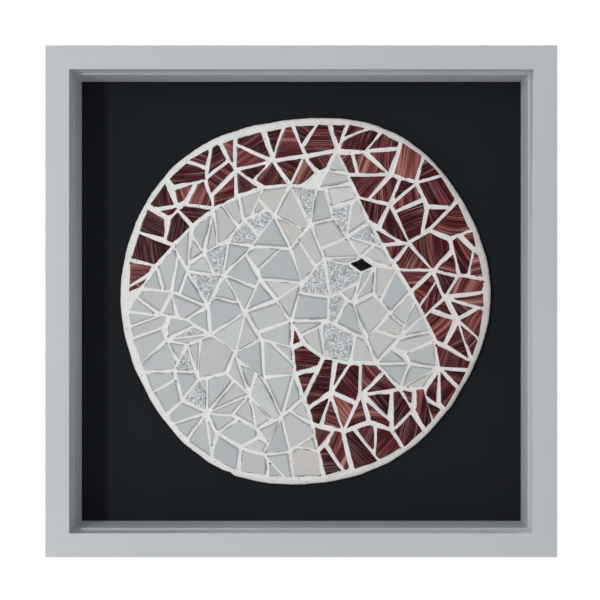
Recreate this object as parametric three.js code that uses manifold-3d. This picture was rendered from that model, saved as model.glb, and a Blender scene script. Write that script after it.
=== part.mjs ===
// A round glass mosaic set in a deep square box frame, made to hang on a wall.
//
// Millimetres, +Z up. The front faces -Y, and the wall is the plane y = 0. The origin is on the wall side of
// the top rail, at the middle of its flat rear face.
//
// The frame is four mitred rails. A liner of four strips stands inside them and holds a black board and a
// backing board against the rear. The mosaic is a low disc on the black board: nipped glass tiles that stand
// in a thin bed of adhesive, with pale grout between and around them. Its picture is a horse's head.

import * as THREE from 'three';
import { mergeVertices } from 'three/addons/utils/BufferGeometryUtils.js';
import Module from 'manifold-3d';

const wasm = await Module();
wasm.setup();

// ---- Driving dimensions -------------------------------------------------------------------------

const FRAME_HALF = 165; // half of the outer width and height
const FRAME_DEPTH = 41;
const LIP_INNER = 149.6; // half of the front opening
const LIP_DEPTH = 10.5; // thickness of the front lip
const REBATE_INNER = 154; // half of the opening behind the lip
const ARRIS = 0.5; // small chamfer along the front edges
const MITRE_GAP = 0.1;
const FIT_GAP = 0.3; // between pieces that touch

const LINER_INNER = 148.3;
const LINER_FRONT_DEPTH = LIP_DEPTH + FIT_GAP;
const BOARD_FACE_DEPTH = 34; // black board's face, behind the front
const BOARD_THICK = 1.5;
const BACKING_THICK = 2.4;

const HANGER_WIDTH = 46;
const HANGER_HEIGHT = 11;
const HANGER_THICK = 0.9;
const HANGER_RISE = 1.2; // how far the toothed middle stands off its feet
const HANGER_FOOT = 7; // length of each flat foot
const HANGER_BEND = 4; // length of each slope
const HANGER_TEETH = 9;
const TOOTH_HALF = 0.9;
const TOOTH_HEIGHT = 1.4;
const HANGER_DROP = 13; // from the top rail's inner face to the hanger's middle
const TAB_LENGTH = 13;
const TAB_WIDTH = 8;
const TAB_THICK = 0.8;
const TAB_SHOULDER = 7.8; // from the rebate to where the tab starts to narrow

const DISC_RADIUS = 124.5; // mean radius of the grout's edge
const DISC_CENTRE = [2.2, 1.4]; // from the middle of the frame
// The hand-laid edge's waves: how many times round, height, and where the crest lies in degrees.
const DISC_WAVES = [[2, 1.3, 45.5], [3, 1.3, 25.7], [4, 0.95, -32], [5, 0.45, -4.4], [6, 0.85, 2.7]];
const DISC_SEGMENTS = 72;
const BED_TOP = 1.2; // adhesive bed above the board's face
const GROUT_TOP = 5.3;
// The disc's rounded edge: distance inside the outermost line and share of the grout's height.
const EDGE_ROUNDING = [[0, 0.4], [0.5, 0.8], [1.8, 1]];
const EDGE_FOOT = 0.8; // how far the edge draws in at the board
const TILE_TOP = 5.9;
const TILE_UNEVEN = 0.25; // how much the tiles' heights differ
const TILE_TILT = 0.016; // how far they lean, as a slope
const POCKET_GAP = 0.12; // from a tile's side to the grout

const RIM_GROUT = 3.3; // mean width of bare grout outside the tiles
const RIM_WAVES = [[1, 0.5, 200], [4, 0.7, 8]]; // how it varies, given like the edge's waves
const SHARD = 17.6; // usual side of a nipped tile
const RIM_SHARD = 19.7; // and of one along the rim
const RIM_JITTER = 0.14; // how unevenly the rim is shared out
const CLOSEST = 15.6; // two tile corners are never closer
// From a tile's side to the middle of the joint, from and to.
const HALF_JOINT = { ground: [0.4, 1.4], figure: [0.38, 1.05] };
const CORNER_LOSS = { ground: 1.3, figure: 1.0 }; // how much a corner may be nipped back, which leaves wedges
const LEAST_HALF_JOINT = 0.38; // a turned tile comes no closer
const TILE_TURN = 8; // how far a tile may be turned in its place, in degrees
const SLIDE = [4.6, 8.5]; // how far a joint's end slides along the next joint
const SLIDE_TRIES = 4; // how often it is tried round each corner
const MOST_CORNERS = 5;
const LEAST_SIDE = 2.9; // shortest side that a tile has, but for nipped tips
const LEAST_BEND = 0.26; // sine of the smallest turn at a tile's corner
const QUAD_SHARE = 0.2; // share of the shards that join into four-sided tiles
const SLIM_SHARE = 0.42; // share of the shards that are split the slimmer way
const LONGEST_TILE = 32;
const SMALLEST_TILE = 22; // smaller slivers are left as grout, in square millimetres
const SHARP_CORNER = THREE.MathUtils.degToRad(38); // sharper corners are nipped
const NIP = 1.8; // how much of a sharp corner is lost
const SCATTER_TRIES = 9000;
// A corner's least distance from a fixed edge's middle: a share of the edge, and a little more.
const EDGE_CLEAR = [0.56, 2.5];
const FLAT_CORNER = 60; // twice the area of the flattest corner that a four-sided tile may have
const SEED = 22;

// ---- The picture: a horse's head in profile, with its neck rising from the lower left -----------

// The mosaic is worked out as seen from behind, where the head faces left, and turned to the front at the
// end, where it faces right.
const NECK_FRONT_ANGLE = -96; // where the neck meets the rim, in degrees
const NECK_BACK_ANGLE = -4;
// Smooth strokes from the front of the neck, round the head, to the back of the neck. Each starts where the
// one before it ends; the first starts at the rim and the last ends there.
const STROKES = {
  neckFront: [[-5, -84], [7, -48], [9, -14]],
  jowl: [[-4, -34], [-24, -42], [-48, -43]],
  chin: [[-64, -60]],
  lips: [[-80, -60], [-90, -46]],
  nose: [[-86, -24], [-68, 10], [-46, 46], [-36, 68]],
  earFront: [[-22, 99]],
  earBack: [[-8, 74]],
  crest: [[22, 76], [58, 62], [92, 32]],
};
const EYE = [[-47, 22], [-38, 18], [-29, 24], [-38, 28]];
const MANE = [[-4, 56], [34, 46], [62, 16], [74, -22], [76, -66]];
const CHEEK = [[-18, 18], [-10, -6], [-26, -24]];
const FORELOCK = [[-28, 62], [-38, 44]];
const MANE_TILES = 8;
const CHEEK_TILES = 4;
const FORELOCK_TILES = 2;

// ---- Colours ------------------------------------------------------------------------------------

function material(color, roughness, metalness = 0) {
  return new THREE.MeshStandardMaterial({ color, roughness, metalness });
}

const GREY_PAINT = material('#bfc3c9', 0.45);
const BLACK_CARD = material('#17181b', 0.9);
const HARDBOARD = material('#7a5a3c', 0.8);
const STEEL = material('#a9adb1', 0.35, 1);
const GROUT = material('#e1deda', 0.9);
const RED_GLASS = material('#5a2022', 0.25);
const PALE_GLASS = material('#c2c6cb', 0.25);
const GLITTER_GLASS = material('#a9a9a6', 0.3, 0.5);
const BLACK_GLASS = material('#0b0b0d', 0.1);

// ---- Small helpers ------------------------------------------------------------------------------

function seededRandom(seed) {
  let state = seed;
  return () => {
    state = (state + 0x6d2b79f5) | 0;
    let t = Math.imul(state ^ (state >>> 15), 1 | state);
    t = (t + Math.imul(t ^ (t >>> 7), 61 | t)) ^ t;
    return ((t ^ (t >>> 14)) >>> 0) / 4294967296;
  };
}

const random = seededRandom(SEED);

function between(low, high) {
  return low + (high - low) * random();
}

function vector([x, y]) {
  return new THREE.Vector2(x, y);
}

function solidOf(geometry) {
  const bare = geometry.clone();
  bare.deleteAttribute('normal');
  bare.deleteAttribute('uv');
  const merged = mergeVertices(bare, 1e-4);
  const vertProperties = new Float32Array(merged.attributes.position.array);
  const triVerts = new Uint32Array(merged.index.array);
  return new wasm.Manifold(new wasm.Mesh({ numProp: 3, vertProperties, triVerts }));
}

function geometryOf(solid) {
  const mesh = solid.getMesh();
  const geometry = new THREE.BufferGeometry();
  geometry.setAttribute('position', new THREE.BufferAttribute(new Float32Array(mesh.vertProperties), 3));
  geometry.setIndex(new THREE.BufferAttribute(new Uint32Array(mesh.triVerts), 1));
  return geometry;
}

function named(name, geometry, look) {
  const mesh = new THREE.Mesh(geometry, look);
  mesh.name = name;
  return mesh;
}

function extruded(points, depth) {
  const shape = new THREE.Shape(points.map(vector));
  return new THREE.ExtrudeGeometry(shape, { depth, bevelEnabled: false });
}

// ---- Frame, liner and boards --------------------------------------------------------------------

// A bar along X of the given profile, a list of [distance from the frame's middle, height above the wall],
// with both ends mitred at 45 degrees.
function mitredBar(profile) {
  const geometry = extruded(profile, 1);
  const position = geometry.attributes.position;
  for (let i = 0; i < position.count; i += 1) {
    const out = position.getX(i);
    const height = position.getY(i);
    const end = 2 * position.getZ(i) - 1;
    position.setXYZ(i, end * (out - MITRE_GAP / 2), -height, out);
  }
  return geometry;
}

// Four bars, one on each side of the square.
function squareOf(prefix, profile, look) {
  return ['top', 'right', 'bottom', 'left'].map((side, turn) => {
    const bar = named(`${prefix}_${side}`, mitredBar(profile), look);
    bar.rotation.y = turn * Math.PI / 2;
    return bar;
  });
}

function rails() {
  const lipRear = FRAME_DEPTH - LIP_DEPTH;
  const profile = [
    [LIP_INNER, FRAME_DEPTH - ARRIS],
    [LIP_INNER, lipRear],
    [REBATE_INNER, lipRear],
    [REBATE_INNER, 0],
    [FRAME_HALF, 0],
    [FRAME_HALF, FRAME_DEPTH - ARRIS],
    [FRAME_HALF - ARRIS, FRAME_DEPTH],
    [LIP_INNER + ARRIS, FRAME_DEPTH],
  ];
  return squareOf('rail', profile, GREY_PAINT);
}

function linerStrips() {
  const front = FRAME_DEPTH - LINER_FRONT_DEPTH;
  const rear = FRAME_DEPTH - BOARD_FACE_DEPTH + FIT_GAP;
  const outer = REBATE_INNER - FIT_GAP;
  const profile = [[LINER_INNER, front], [LINER_INNER, rear], [outer, rear], [outer, front]];
  return squareOf('liner', profile, GREY_PAINT);
}

// A square board that fills the rebate, with its front face at the given height above the wall.
function board(name, faceHeight, thick, look) {
  const side = 2 * (REBATE_INNER - FIT_GAP);
  const mesh = named(name, new THREE.BoxGeometry(side, thick, side), look);
  mesh.position.y = thick / 2 - faceHeight;
  return mesh;
}

const BOARD_FACE = FRAME_DEPTH - BOARD_FACE_DEPTH;
const BACKING_FACE = BOARD_FACE - BOARD_THICK - FIT_GAP;
const BACKING_REAR = BACKING_FACE - BACKING_THICK;

// ---- Fittings on the back -----------------------------------------------------------------------

// A bent strip with two flat feet and a raised middle, toothed along its lower edge to take a nail.
function hanger() {
  const foot = BACKING_REAR - FIT_GAP;
  const raised = foot - HANGER_RISE;
  const half = HANGER_WIDTH / 2;
  const bend = half - HANGER_FOOT;
  const flat = bend - HANGER_BEND;
  const leftSide = [[-half, foot], [-bend, foot], [-flat, raised]];
  const boardSide = [...leftSide, ...leftSide.map(([x, y]) => [-x, y]).reverse()];
  const wallSide = boardSide.map(([x, y]) => [x, y - HANGER_THICK]).reverse();
  const strip = extruded([...boardSide, ...wallSide], HANGER_HEIGHT).rotateX(Math.PI);
  strip.translate(0, 0, HANGER_HEIGHT / 2);
  let solid = solidOf(strip);
  const pitch = (2 * flat) / (HANGER_TEETH + 1);
  for (let i = 1; i <= HANGER_TEETH; i += 1) {
    const tooth = [[-TOOTH_HALF, -1], [TOOTH_HALF, -1], [0, TOOTH_HEIGHT]];
    const notch = extruded(tooth, FRAME_DEPTH).rotateX(Math.PI / 2);
    notch.translate(i * pitch - flat, FRAME_DEPTH / 2, -HANGER_HEIGHT / 2);
    solid = solid.subtract(solidOf(notch));
  }
  const mesh = named('wall_hanger', geometryOf(solid), STEEL);
  mesh.position.z = REBATE_INNER - HANGER_DROP;
  return mesh;
}

// Flat pointed tabs that keep the backing board in the rebate, one in the middle of each side.
function tabs() {
  const outline = [
    [-TAB_WIDTH / 2, 0],
    [TAB_WIDTH / 2, 0],
    [TAB_WIDTH / 2, -TAB_SHOULDER],
    [0, -TAB_LENGTH],
    [-TAB_WIDTH / 2, -TAB_SHOULDER],
  ];
  return ['top', 'right', 'bottom', 'left'].map((side, turn) => {
    const geometry = extruded([...outline].reverse(), TAB_THICK).rotateX(Math.PI / 2);
    const offset = side === 'top' ? HANGER_WIDTH : 0;
    geometry.translate(offset, FIT_GAP - BACKING_REAR + TAB_THICK, REBATE_INNER - FIT_GAP);
    const tab = named(`backing_tab_${side}`, geometry, STEEL);
    tab.rotation.y = turn * Math.PI / 2;
    return tab;
  });
}

// ---- Laying the tiles ---------------------------------------------------------------------------

// The sum of waves that run round the disc, at one angle.
function wavesAt(angle, waves) {
  const crests = waves.map(([times, height, crest]) => {
    return height * Math.cos(times * (angle - THREE.MathUtils.degToRad(crest)));
  });
  return crests.reduce((sum, crest) => sum + crest, 0);
}

function edgeRadius(angle) {
  return DISC_RADIUS + wavesAt(Math.PI - angle, DISC_WAVES);
}

// A point on the line where the tiles end, inside the bare grout.
function rimPoint(degrees) {
  const angle = THREE.MathUtils.degToRad(degrees);
  const radius = edgeRadius(angle) - RIM_GROUT - wavesAt(Math.PI - angle, RIM_WAVES);
  return new THREE.Vector2(radius * Math.cos(angle), radius * Math.sin(angle));
}

// Corners along the rim, counterclockwise from one angle to another, both ends included.
function rimPoints(from, to) {
  const length = THREE.MathUtils.degToRad(to - from) * DISC_RADIUS;
  const count = Math.round(length / RIM_SHARD);
  const step = (to - from) / count;
  return Array.from({ length: count + 1 }, (_, i) => {
    const jitter = i > 0 && i < count ? between(-RIM_JITTER, RIM_JITTER) : 0;
    return rimPoint(from + (i + jitter) * step);
  });
}

// Corners along the picture's outline, from the front of the neck to its back.
function picturePoints() {
  const points = [rimPoint(NECK_FRONT_ANGLE)];
  const strokes = Object.values(STROKES).map((stroke) => stroke.map(vector));
  strokes.at(-1).push(rimPoint(NECK_BACK_ANGLE));
  for (const stroke of strokes) {
    const curve = new THREE.SplineCurve([points.at(-1), ...stroke]);
    const count = Math.max(1, Math.round(curve.getLength() / SHARD));
    points.push(...curve.getSpacedPoints(count).slice(1));
  }
  return points;
}

function closedEdges(points) {
  return points.map((point, i) => [point, points[(i + 1) % points.length]]);
}

// Adds corners in the open areas, none too close to another or inside the circle on a fixed edge.
function scatter(corners, fixedEdges) {
  for (let attempt = 0; attempt < SCATTER_TRIES; attempt += 1) {
    const angle = between(0, 2 * Math.PI);
    const radius = Math.sqrt(random()) * (DISC_RADIUS - SHARD * 0.6);
    const point = new THREE.Vector2(radius * Math.cos(angle), radius * Math.sin(angle));
    const apart = CLOSEST * between(0.92, 1.12);
    const crowded = corners.some((corner) => corner.distanceTo(point) < apart);
    const onEdge = fixedEdges.some(([a, b]) => {
      const middle = a.clone().add(b).multiplyScalar(0.5);
      return middle.distanceTo(point) < EDGE_CLEAR[0] * a.distanceTo(b) + EDGE_CLEAR[1];
    });
    if (!crowded && !onEdge) corners.push(point);
  }
}

function circleThrough(a, b, c) {
  const bx = b.x - a.x;
  const by = b.y - a.y;
  const cx = c.x - a.x;
  const cy = c.y - a.y;
  const d = 2 * (bx * cy - by * cx);
  const x = (cy * (bx * bx + by * by) - by * (cx * cx + cy * cy)) / d;
  const y = (bx * (cx * cx + cy * cy) - cx * (bx * bx + by * by)) / d;
  return { centre: new THREE.Vector2(a.x + x, a.y + y), square: x * x + y * y };
}

// The Delaunay triangles of the corners, as lists of three corner numbers, counterclockwise.
function triangulate(corners) {
  const far = 40 * DISC_RADIUS;
  const all = [...corners, vector([-far, -far]), vector([far, -far]), vector([0, far])];
  const count = corners.length;
  let triangles = [{ at: [count, count + 1, count + 2], ...circleThrough(...all.slice(count)) }];
  for (let i = 0; i < count; i += 1) {
    const hit = triangles.filter((t) => t.centre.distanceToSquared(all[i]) < t.square);
    const open = new Map();
    for (const { at } of hit) {
      for (let k = 0; k < 3; k += 1) {
        const [from, to] = [at[k], at[(k + 1) % 3]];
        if (!open.delete(`${to},${from}`)) open.set(`${from},${to}`, [from, to]);
      }
    }
    triangles = triangles.filter((t) => !hit.includes(t));
    for (const [from, to] of open.values()) {
      triangles.push({ at: [from, to, i], ...circleThrough(all[from], all[to], all[i]) });
    }
  }
  return triangles.map((t) => t.at).filter((at) => at.every((k) => k < count));
}

function insideOutline(point, outline) {
  let inside = false;
  for (const [a, b] of closedEdges(outline)) {
    const crosses = a.y > point.y !== b.y > point.y;
    if (crosses && point.x < ((b.x - a.x) * (point.y - a.y)) / (b.y - a.y) + a.x) inside = !inside;
  }
  return inside;
}

function middleOf(points) {
  const sum = new THREE.Vector2();
  points.forEach((point) => sum.add(point));
  return sum.divideScalar(points.length);
}

function cross(a, b, c) {
  return (b.x - a.x) * (c.y - a.y) - (b.y - a.y) * (c.x - a.x);
}

function areaOf(points) {
  return closedEdges(points).reduce((sum, [a, b]) => sum + a.x * b.y - b.x * a.y, 0) / 2;
}

// The outline moved inwards by one distance for each side.
function inset(points, distances) {
  const lines = closedEdges(points).map(([a, b], i) => {
    const along = b.clone().sub(a).normalize();
    const inward = new THREE.Vector2(-along.y, along.x);
    return { start: a.clone().addScaledVector(inward, distances[i]), along };
  });
  return lines.map((line, i) => {
    const before = lines.at(i - 1);
    const gap = line.start.clone().sub(before.start);
    const turn = before.along.cross(line.along);
    const travel = gap.cross(line.along) / turn;
    return before.start.clone().addScaledVector(before.along, travel);
  });
}

function evenly(points, distance) {
  return inset(points, points.map(() => distance));
}

// Cuts the tip off each sharp corner of a tile, as the nippers do.
function nipped(points) {
  return points.flatMap((point, i) => {
    const before = points.at(i - 1).clone().sub(point);
    const after = points[(i + 1) % points.length].clone().sub(point);
    const angle = Math.abs(before.angleTo(after));
    if (angle > SHARP_CORNER) return [point];
    const first = point.clone().addScaledVector(before.normalize(), NIP * between(0.7, 1.2));
    const second = point.clone().addScaledVector(after.normalize(), NIP * between(0.7, 1.2));
    return [first, second];
  });
}

// Joins two neighbouring triangles into a four-sided tile, or returns null where they make a poor one.
function quadOf(a, b, corners) {
  const shared = a.filter((k) => b.includes(k));
  if (shared.length !== 2) return null;
  const at = a.findIndex((k) => !shared.includes(k));
  const tip = b.find((k) => !shared.includes(k));
  const quad = [a[at], a[(at + 1) % 3], tip, a[(at + 2) % 3]];
  const points = quad.map((k) => corners[k]);
  const convex = points.every((p, i) => cross(points.at(i - 1), p, points[(i + 1) % 4]) > FLAT_CORNER);
  const longest = Math.max(points[0].distanceTo(points[2]), points[1].distanceTo(points[3]));
  return convex && longest < LONGEST_TILE ? quad : null;
}

// Random neighbouring triangles of one kind, each used once, as the four-sided outlines they make together.
function neighbourQuads(cells, corners, share) {
  const order = cells.map((cell) => ({ cell, key: random() })).sort((a, b) => a.key - b.key);
  const used = new Set();
  const quads = [];
  for (const { cell } of order) {
    if (2 * quads.length >= share * cells.length) break;
    if (used.has(cell)) continue;
    const free = cells.filter((other) => other !== cell && other.kind === cell.kind && !used.has(other));
    const mate = free.find((other) => quadOf(cell.at, other.at, corners));
    if (!mate) continue;
    used.add(cell).add(mate);
    quads.push({ at: quadOf(cell.at, mate.at, corners), kind: cell.kind });
  }
  return { quads, rest: cells.filter((cell) => !used.has(cell)) };
}

// Some pairs are split along their other diagonal, which gives the slim shards of hand-nipped glass.
function splitOtherWay(cells, corners) {
  const { quads, rest } = neighbourQuads(cells, corners, SLIM_SHARE);
  const slim = quads.flatMap(({ at: [a, b, c, d], kind }) => {
    return [{ at: [a, b, c], kind }, { at: [a, c, d], kind }];
  });
  return [...rest, ...slim];
}

function joinSome(cells, corners) {
  const { quads, rest } = neighbourQuads(cells, corners, QUAD_SHARE);
  return [...rest, ...quads];
}

// Whether an outline is convex and has no short side and no flat corner.
function isSound(points, shortest) {
  return points.every((here, i) => {
    const before = here.clone().sub(points.at(i - 1));
    const after = points[(i + 1) % points.length].clone().sub(here);
    return after.length() > shortest && before.cross(after) > LEAST_BEND * before.length() * after.length();
  });
}

// Slides the end of the joint between two shards along the first one's other side at that corner. The first
// shard gets shorter, the second one gains a side, and the joint then ends at a third shard's side.
function slideJoint(corner, first, second, used) {
  const i = first.ends.findIndex((end) => end.corner === corner);
  const neighbours = [first.ends.at(i - 1), first.ends[(i + 1) % first.ends.length]];
  const side = neighbours.findIndex((end) => second.ends.some((other) => other.corner === end.corner));
  if (side < 0 || second.ends.length === MOST_CORNERS) return;
  const [slid, rail] = [neighbours[side], neighbours[1 - side]];
  const keys = [slid, rail].map((end) => `${corner},${end.corner}`);
  if (keys.some((key) => used.has(key))) return;

  const start = first.ends[i].point;
  const way = rail.point.clone().sub(start);
  const travel = between(...SLIDE);
  if (travel > 0.5 * way.length()) return;
  const end = { corner, point: start.clone().addScaledVector(way.normalize(), travel) };
  const shorter = first.ends.with(i, end);
  const k = second.ends.findIndex((other) => other.corner === corner);
  const longer = second.ends.toSpliced(side === 0 ? k + 1 : k, 0, end);
  const clear = 1.6 * LEAST_SIDE;
  if (![shorter, longer].every((ends) => isSound(ends.map(({ point }) => point), clear))) return;
  first.ends = shorter;
  second.ends = longer;
  keys.forEach((key) => used.add(key));
}

// Shards cut out of the net of corners, with many joints ending at another shard's side.
function unevenShards(shards, corners) {
  const places = shards.map(({ at, kind }) => ({
    kind,
    ends: at.map((corner) => ({ corner, point: corners[corner] })),
  }));
  const used = new Set();
  corners.forEach((_, corner) => {
    for (let attempt = 0; attempt < SLIDE_TRIES; attempt += 1) {
      const round = places.filter(({ ends }) => ends.filter((end) => end.corner === corner).length === 1);
      const first = round[Math.floor(random() * round.length)];
      const mates = round.filter((place) => place !== first && place.kind === first.kind);
      const second = mates[Math.floor(random() * mates.length)];
      if (second) slideJoint(corner, first, second, used);
    }
  });
  return places.map(({ ends, kind }) => ({ place: ends.map(({ point }) => point), kind }));
}

// A shard's outline in its place: smaller by an uneven joint, and turned a little while it stays clear.
function setInPlace(place, joint, loss) {
  const middleOfPlace = middleOf(place);
  let shard = evenly(place, joint[0]);
  for (let tries = 0; tries < 8; tries += 1) {
    const smaller = inset(place, place.map(() => between(...joint))).map((point) => {
      const inward = middleOfPlace.clone().sub(point).normalize();
      return point.clone().addScaledVector(inward, between(0, loss));
    });
    if (!isSound(smaller, LEAST_SIDE)) continue;
    shard = smaller;
    break;
  }
  const limit = evenly(place, LEAST_HALF_JOINT);
  const middle = middleOf(shard);
  let turn = THREE.MathUtils.degToRad(between(-TILE_TURN, TILE_TURN));
  const turned = () => shard.map((point) => point.clone().rotateAround(middle, turn));
  for (let tries = 0; tries < 6 && !turned().every((p) => insideOutline(p, limit)); tries += 1) turn *= 0.6;
  return turned();
}

// The tiles nearest to evenly spaced places on a line become tiles of another kind.
function recolour(tiles, line, count, kind) {
  const places = new THREE.SplineCurve(line.map(vector)).getSpacedPoints(count - 1);
  for (const place of places) {
    const free = tiles.filter((tile) => tile.kind === 'figure');
    free.sort((a, b) => a.middle.distanceTo(place) - b.middle.distanceTo(place));
    free[0].kind = kind;
  }
}

function layTiles() {
  const outline = picturePoints();
  const lowerRight = rimPoints(NECK_FRONT_ANGLE, NECK_BACK_ANGLE).slice(1, -1);
  const upperLeft = rimPoints(NECK_BACK_ANGLE, 360 + NECK_FRONT_ANGLE).slice(1, -1);
  const figure = [...outline].reverse().concat(lowerRight);
  const ground = [...outline, ...upperLeft];
  const rim = [outline[0], ...lowerRight, outline.at(-1), ...upperLeft];
  const eye = EYE.map(vector);
  const corners = [...outline, ...lowerRight, ...upperLeft, ...eye];
  scatter(corners, [...closedEdges(figure), ...closedEdges(ground)]);

  const cells = [];
  for (const at of triangulate(corners)) {
    const middle = middleOf(at.map((k) => corners[k]));
    const inEye = at.every((k) => eye.includes(corners[k]));
    const kind = insideOutline(middle, figure) ? 'figure' : 'ground';
    if (insideOutline(middle, rim) && !inEye) cells.push({ at, kind });
  }
  const shards = joinSome(splitOtherWay(cells, corners), corners);
  shards.push({ at: eye.map((point) => corners.indexOf(point)), kind: 'eye' });

  const tiles = [];
  for (const { place, kind } of unevenShards(shards, corners)) {
    const joint = HALF_JOINT[kind] ?? HALF_JOINT.figure;
    const loss = CORNER_LOSS[kind] ?? 0;
    const points = nipped(setInPlace(place, joint, loss));
    if (areaOf(points) > SMALLEST_TILE) tiles.push({ points, middle: middleOf(points), kind });
  }
  recolour(tiles, MANE, MANE_TILES, 'glitter');
  recolour(tiles, CHEEK, CHEEK_TILES, 'glitter');
  recolour(tiles, FORELOCK, FORELOCK_TILES, 'glitter');
  return { tiles, figure, ground, rim };
}

// ---- Solids of the mosaic, lying flat with +Z out of the picture --------------------------------

function turnedToFront(solid) {
  return geometryOf(solid.mirror([1, 0, 0]));
}

// An upright prism on a flat outline, with its top at the height that topAt gives for each corner.
function prism(points, bottom, topAt) {
  const cap = THREE.ShapeUtils.triangulateShape(points, []);
  const count = points.length;
  const positions = [];
  points.forEach((p) => positions.push(p.x, p.y, bottom));
  points.forEach((p) => positions.push(p.x, p.y, topAt(p)));
  const index = [];
  for (const [a, b, c] of cap) {
    index.push(a, c, b);
    index.push(count + a, count + b, count + c);
  }
  for (let i = 0; i < count; i += 1) {
    const next = (i + 1) % count;
    index.push(i, next, count + next);
    index.push(i, count + next, count + i);
  }
  const geometry = new THREE.BufferGeometry();
  geometry.setAttribute('position', new THREE.Float32BufferAttribute(positions, 3));
  geometry.setIndex(index);
  return geometry;
}

// One glass tile. Its top lies a little high or low and leans a little, as hand-set tiles do.
function tileGeometry({ points, middle }, bottom) {
  const height = TILE_TOP + between(-TILE_UNEVEN, TILE_UNEVEN);
  const slopeX = between(-TILE_TILT, TILE_TILT);
  const slopeY = between(-TILE_TILT, TILE_TILT);
  return prism(points, bottom, (p) => height + slopeX * (p.x - middle.x) + slopeY * (p.y - middle.y));
}

// All tiles of one colour, standing in their part of the adhesive bed.
function beddedTiles(name, tiles, outline, look) {
  const bed = prism(evenly(outline, FIT_GAP / 2), FIT_GAP, () => BED_TOP);
  let solid = solidOf(bed);
  for (const tile of tiles) solid = solid.add(solidOf(tileGeometry(tile, BED_TOP - FIT_GAP)));
  return named(name, turnedToFront(solid), look);
}

// The grout: a low wavy disc with a rounded edge, open where the bed and the tiles are.
function grout({ tiles, rim }) {
  const profile = [
    [0, FIT_GAP],
    [DISC_RADIUS - EDGE_FOOT, FIT_GAP],
    ...EDGE_ROUNDING.map(([inside, share]) => [DISC_RADIUS - inside, share * GROUT_TOP]),
    [0, GROUT_TOP],
  ];
  const disc = new THREE.LatheGeometry(profile.map(vector), DISC_SEGMENTS).rotateX(Math.PI / 2);
  const position = disc.attributes.position;
  for (let i = 0; i < position.count; i += 1) {
    const scale = edgeRadius(Math.atan2(position.getY(i), position.getX(i))) / DISC_RADIUS;
    position.setXY(i, scale * position.getX(i), scale * position.getY(i));
  }
  let solid = solidOf(disc);
  solid = solid.subtract(solidOf(prism(evenly(rim, -FIT_GAP), -1, () => BED_TOP + FIT_GAP)));
  for (const { points } of tiles) {
    solid = solid.subtract(solidOf(prism(evenly(points, -POCKET_GAP), 0, () => 2 * TILE_TOP)));
  }
  return named('grout', turnedToFront(solid), GROUT);
}

function mosaic() {
  const laid = layTiles();
  const ofKind = (kind) => laid.tiles.filter((tile) => tile.kind === kind);
  const loose = (tile) => turnedToFront(solidOf(tileGeometry(tile, BED_TOP + FIT_GAP)));
  const group = new THREE.Group();
  group.add(grout(laid));
  group.add(beddedTiles('ground_tiles', ofKind('ground'), laid.ground, RED_GLASS));
  group.add(beddedTiles('figure_tiles', ofKind('figure'), laid.figure, PALE_GLASS));
  ofKind('glitter').forEach((tile, i) => {
    group.add(named(`glitter_tile_${String(i + 1).padStart(2, '0')}`, loose(tile), GLITTER_GLASS));
  });
  ofKind('eye').forEach((tile) => group.add(named('eye_tile', loose(tile), BLACK_GLASS)));
  group.rotation.x = Math.PI / 2;
  group.position.set(DISC_CENTRE[0], -BOARD_FACE, DISC_CENTRE[1]);
  return group;
}

// ---- The whole panel ----------------------------------------------------------------------------

const panel = new THREE.Group();
panel.add(...rails());
panel.add(...linerStrips());
panel.add(board('mount_board', BOARD_FACE, BOARD_THICK, BLACK_CARD));
panel.add(board('backing_board', BACKING_FACE, BACKING_THICK, HARDBOARD));
panel.add(hanger());
panel.add(...tabs());
panel.add(mosaic());
panel.position.z = -(REBATE_INNER + FRAME_HALF) / 2;

const root = new THREE.Group();
root.add(panel);

export default root;
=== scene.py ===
"""The looks of a round glass mosaic in a deep box frame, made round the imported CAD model.

The tiles' corners, the disc's edge and every level are read from the CAD nodes. Flat work is done in panel
coordinates: x to the right, z up and the height above the black board, all in metres.
"""

import math

import bpy
import numpy as np
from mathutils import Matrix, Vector
from mathutils.geometry import delaunay_2d_cdt


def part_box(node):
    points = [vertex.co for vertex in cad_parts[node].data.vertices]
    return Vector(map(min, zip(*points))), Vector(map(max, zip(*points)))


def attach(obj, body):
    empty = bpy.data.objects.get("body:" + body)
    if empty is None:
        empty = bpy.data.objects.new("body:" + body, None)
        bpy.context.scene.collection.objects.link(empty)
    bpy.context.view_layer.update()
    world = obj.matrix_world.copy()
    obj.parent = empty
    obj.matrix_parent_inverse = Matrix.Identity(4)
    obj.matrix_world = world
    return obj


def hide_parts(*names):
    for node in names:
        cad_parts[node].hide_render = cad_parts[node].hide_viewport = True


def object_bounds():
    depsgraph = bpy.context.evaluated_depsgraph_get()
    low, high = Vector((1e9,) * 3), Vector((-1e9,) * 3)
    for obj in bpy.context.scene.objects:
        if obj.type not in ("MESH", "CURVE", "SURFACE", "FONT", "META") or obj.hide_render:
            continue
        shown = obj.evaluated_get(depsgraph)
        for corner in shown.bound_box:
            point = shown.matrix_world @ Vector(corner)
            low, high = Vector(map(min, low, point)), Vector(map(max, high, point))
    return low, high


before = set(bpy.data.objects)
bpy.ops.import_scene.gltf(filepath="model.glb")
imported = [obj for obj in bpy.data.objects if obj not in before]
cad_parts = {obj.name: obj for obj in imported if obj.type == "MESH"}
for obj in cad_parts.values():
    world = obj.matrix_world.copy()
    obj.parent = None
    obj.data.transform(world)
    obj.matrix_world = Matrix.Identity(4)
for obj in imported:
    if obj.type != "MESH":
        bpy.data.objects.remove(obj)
CAD_LOW, CAD_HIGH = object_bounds()

MM = 0.001
SIDES = ("top", "right", "bottom", "left")
BOARD_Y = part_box("mount_board")[0].y
FRAME_CENTRE = (CAD_LOW + CAD_HIGH) / 2

# ---- Small helpers -------------------------------------------------------------------------------


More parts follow.
